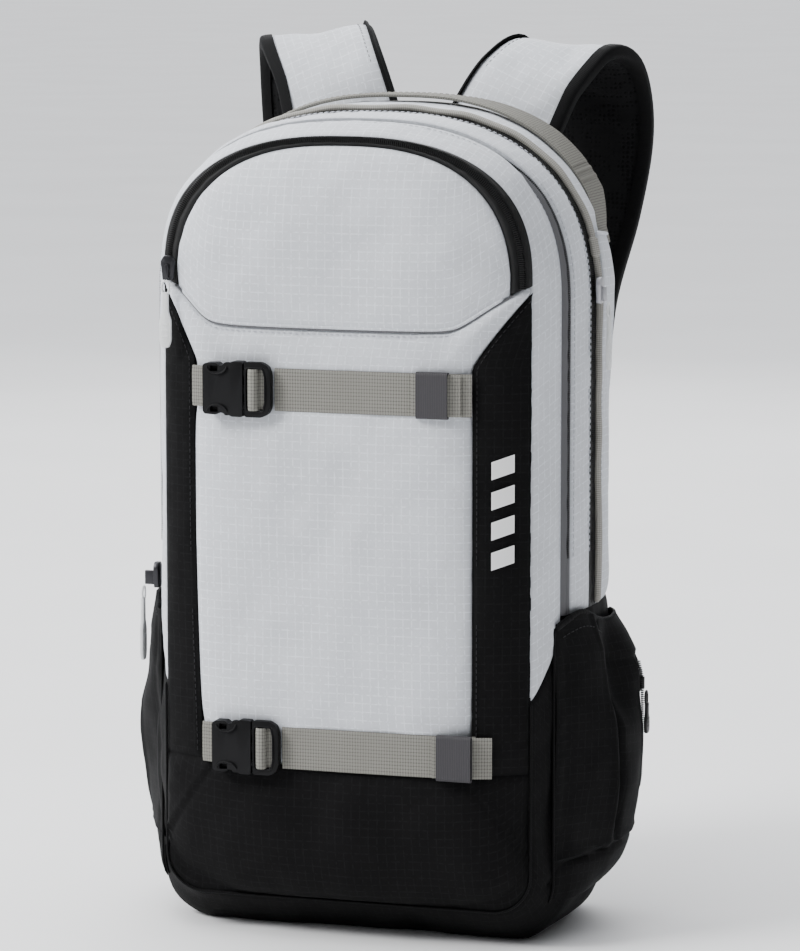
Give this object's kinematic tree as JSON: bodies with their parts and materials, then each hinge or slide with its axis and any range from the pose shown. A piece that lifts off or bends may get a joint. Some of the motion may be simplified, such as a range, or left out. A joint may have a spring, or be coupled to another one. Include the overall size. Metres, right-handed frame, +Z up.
{
  "type": "ski backpack",
  "caption": "Slim ski backpack with a padded back, arched main and tool lids, a top goggle pocket, compression straps, side pockets and shoulder straps.",
  "frame": {"origin": "middle of the flat base that the pack stands on, under the main zip", "axes": "+Z up along the back, +Y towards the wearer, so the front face with the straps faces -Y and +X is the pack's right side as seen from the front"},
  "size_m": [0.3193, 0.264, 0.5385],
  "materials": {
    "grey_ripstop": "ripstop weave, matt",
    "black_ripstop": "ripstop weave, matt",
    "grey_lining": "plain weave lining, matt",
    "warm_grey_webbing": "woven webbing, matt",
    "black_zip_tape": "coated coil zip tape, satin",
    "grey_zip_tape": "woven zip tape, matt",
    "dark_elastic": "knitted elastic, matt",
    "black_nylon": "moulded, satin",
    "black_mesh": "spacer mesh, matt",
    "framesheet_plastic": "sheet, matt",
    "dark_metal": "dark plated, satin",
    "pale_pull": "moulded pull on cord, satin"
  },
  "bodies": {
    "pack_body": {"base_panel": "black_ripstop", "base_front": "black_ripstop", "front_panel_lower": "grey_ripstop", "side_strip_lower_left": "black_ripstop", "side_strip_lower_right": "black_ripstop", "divider_lower": "grey_lining", "rear_gusset": "grey_ripstop", "main_zip_tape_rear": "grey_zip_tape", "back_wall": "black_ripstop", "framesheet": "framesheet_plastic", "hydration_sleeve": "grey_lining", "back_pad_left": "black_mesh", "back_pad_right": "black_mesh", "lumbar_pad": "black_mesh", "anchor_wing_left": "black_ripstop", "anchor_wing_right": "black_ripstop", "strap_yoke": "black_ripstop", "side_pocket_left": "black_ripstop", "side_pocket_right": "black_ripstop", "lower_webbing": "warm_grey_webbing", "lower_buckle_socket": "black_nylon", "lower_tab": "warm_grey_webbing"},
    "main_lid": {"main_zip_tape_front": "grey_zip_tape", "mid_gusset": "grey_ripstop", "tool_zip_tape": "grey_zip_tape", "divider_panel": "grey_lining"},
    "tool_lid": {"front_gusset": "grey_ripstop", "front_panel_upper": "grey_ripstop", "side_strip_upper_left": "black_ripstop", "side_strip_upper_right": "black_ripstop", "goggle_zip_band": "black_zip_tape", "goggle_liner_back": "grey_lining", "goggle_liner_floor": "grey_lining", "upper_webbing": "warm_grey_webbing", "upper_buckle_socket": "black_nylon", "upper_tab": "warm_grey_webbing"},
    "goggle_lid": {"goggle_flap": "grey_ripstop"},
    "handle": {"haul_handle": "warm_grey_webbing"},
    "left_strap": {"shoulder_pad_left": "grey_ripstop", "ladder_lock_left": "black_nylon", "strap_webbing_left": "warm_grey_webbing"},
    "right_strap": {"shoulder_pad_right": "grey_ripstop", "ladder_lock_right": "black_nylon", "strap_webbing_right": "warm_grey_webbing"},
    "sternum_left": {"sternum_web_left": "warm_grey_webbing", "sternum_buckle_socket": "black_nylon"},
    "sternum_right": {"sternum_web_right": "warm_grey_webbing", "sternum_buckle_clip": "black_nylon"},
    "upper_clip": {"upper_buckle_clip": "black_nylon"},
    "lower_clip": {"lower_buckle_clip": "black_nylon"},
    "upper_keeper_loop": {"upper_keeper": "dark_elastic"},
    "lower_keeper_loop": {"lower_keeper": "dark_elastic"},
    "main_slider": {"main_zip_slider": "dark_metal"},
    "main_pull": {"main_zip_pull": "pale_pull"},
    "tool_slider": {"tool_zip_slider": "dark_metal"},
    "tool_pull": {"tool_zip_pull": "pale_pull"},
    "goggle_slider": {"goggle_zip_slider": "dark_metal"},
    "goggle_pull": {"goggle_zip_pull": "pale_pull"},
    "pocket_slider": {"pocket_zip_slider": "dark_metal"},
    "pocket_pull": {"pocket_zip_pull": "dark_metal"}
  },
  "joints": [
    {"name": "main_zip_open", "type": "hinge", "parent": "pack_body", "child": "main_lid", "pos_m": [0, -0.0894, 0.2], "axis": [1, 0, 0], "range_deg": [0, 60]},
    {"name": "tool_zip_open", "type": "hinge", "parent": "main_lid", "child": "tool_lid", "pos_m": [0, -0.0894, 0.2], "axis": [1, 0, 0], "range_deg": [0, 55]},
    {"name": "goggle_flap_open", "type": "hinge", "parent": "tool_lid", "child": "goggle_lid", "pos_m": [0, -0.0891, 0.3725], "axis": [1, 0, 0], "range_deg": [0, 75]},
    {"name": "handle_tilt", "type": "hinge", "parent": "pack_body", "child": "handle", "pos_m": [0, 0.05, 0.462], "axis": [1, 0, 0], "range_deg": [-6, 6]},
    {"name": "left_strap_swing", "type": "hinge", "parent": "pack_body", "child": "left_strap", "pos_m": [-0.05, 0.081, 0.459], "axis": [-0.1558, -0.0188, -0.9876], "range_deg": [-8, 8]},
    {"name": "right_strap_swing", "type": "hinge", "parent": "pack_body", "child": "right_strap", "pos_m": [0.05, 0.081, 0.459], "axis": [0.1558, -0.0188, -0.9876], "range_deg": [-8, 8]},
    {"name": "sternum_slide_left", "type": "slide", "parent": "left_strap", "child": "sternum_left", "axis": [-0.1184, 0.3305, 0.9364], "range_m": [-0.012, 0.012]},
    {"name": "sternum_slide_right", "type": "slide", "parent": "right_strap", "child": "sternum_right", "axis": [0.1184, 0.3305, 0.9364], "range_m": [-0.012, 0.012]},
    {"name": "upper_clip_slide", "type": "slide", "parent": "tool_lid", "child": "upper_clip", "axis": [1, 0, 0], "range_m": [0, 0.05]},
    {"name": "lower_clip_slide", "type": "slide", "parent": "pack_body", "child": "lower_clip", "axis": [1, 0, 0], "range_m": [0, 0.05]},
    {"name": "upper_keeper_slide", "type": "slide", "parent": "tool_lid", "child": "upper_keeper_loop", "axis": [1, 0, 0], "range_m": [-0.04, 0]},
    {"name": "lower_keeper_slide", "type": "slide", "parent": "pack_body", "child": "lower_keeper_loop", "axis": [1, 0, 0], "range_m": [-0.04, 0]},
    {"name": "main_zip_slide", "type": "slide", "parent": "pack_body", "child": "main_slider", "axis": [0, 0, 1], "range_m": [-0.15, 0]},
    {"name": "main_pull_swing", "type": "hinge", "parent": "main_slider", "child": "main_pull", "pos_m": [0.1438, 0, 0.3836], "axis": [0, -1, 0], "range_deg": [0, 110]},
    {"name": "tool_zip_slide", "type": "slide", "parent": "main_lid", "child": "tool_slider", "axis": [0, 0, 1], "range_m": [0, 0.16]},
    {"name": "tool_pull_swing", "type": "hinge", "parent": "tool_slider", "child": "tool_pull", "pos_m": [-0.142, -0.0385, 0.2036], "axis": [0, 1, 0], "range_deg": [0, 110]},
    {"name": "goggle_zip_slide", "type": "slide", "parent": "tool_lid", "child": "goggle_slider", "axis": [0, 0, 1], "range_m": [0, 0.03]},
    {"name": "goggle_pull_swing", "type": "hinge", "parent": "goggle_slider", "child": "goggle_pull", "pos_m": [-0.1088, -0.0838, 0.3976], "axis": [-1, 0, 0], "range_deg": [0, 100]},
    {"name": "pocket_zip_slide", "type": "slide", "parent": "pack_body", "child": "pocket_slider", "axis": [0, 0, 1], "range_m": [-0.04, 0]},
    {"name": "pocket_pull_swing", "type": "hinge", "parent": "pocket_slider", "child": "pocket_pull", "pos_m": [0.1616, 0.03, 0.1426], "axis": [0, -1, 0], "range_deg": [0, 110]}
  ]
}
